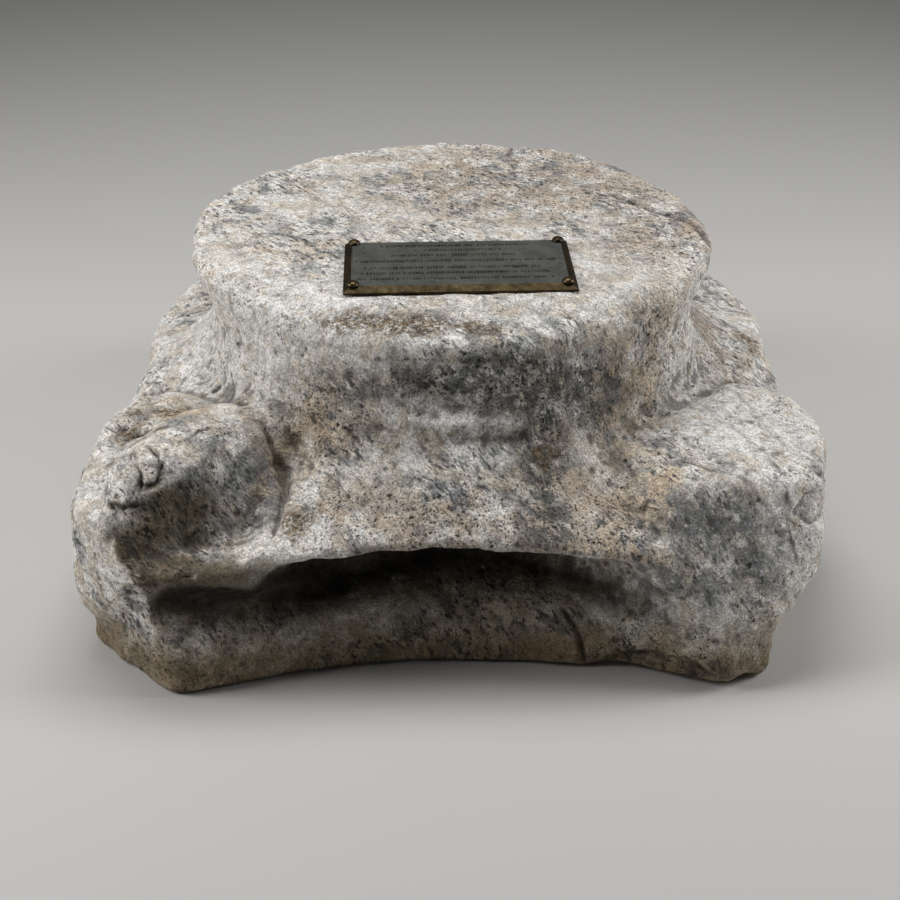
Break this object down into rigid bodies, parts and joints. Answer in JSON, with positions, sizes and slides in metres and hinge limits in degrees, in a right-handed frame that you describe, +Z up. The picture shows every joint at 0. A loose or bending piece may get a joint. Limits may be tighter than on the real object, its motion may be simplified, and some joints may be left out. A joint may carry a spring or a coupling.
{
  "type": "inverted marble capital with a plaque",
  "caption": "Weathered marble capital standing upside down: round column bed on top, square concave-sided abacus below, a deep groove between, broken corner volutes, bronze plaque on the bed.",
  "frame": {"origin": "centre of the column's axis in the plane that the stone stands on", "axes": "+Z up along the column's axis, -Y towards the front where the plaque reads upright, +X to the right"},
  "size_m": [0.5152, 0.4918, 0.2323],
  "materials": {
    "marble": "weathered white marble with grey veins, black specks, tan and brown stains, dirt in the groove",
    "plaque_bronze": "dark green-grey patinated bronze, brown on the bevel",
    "screw_bronze": "dark brown round-head screws, worn brighter on top"
  },
  "bodies": {
    "root": {"capital": "marble", "plaque": "plaque_bronze", "screw_front_left": "screw_bronze", "screw_front_right": "screw_bronze", "screw_back_left": "screw_bronze", "screw_back_right": "screw_bronze"}
  },
  "joints": []
}
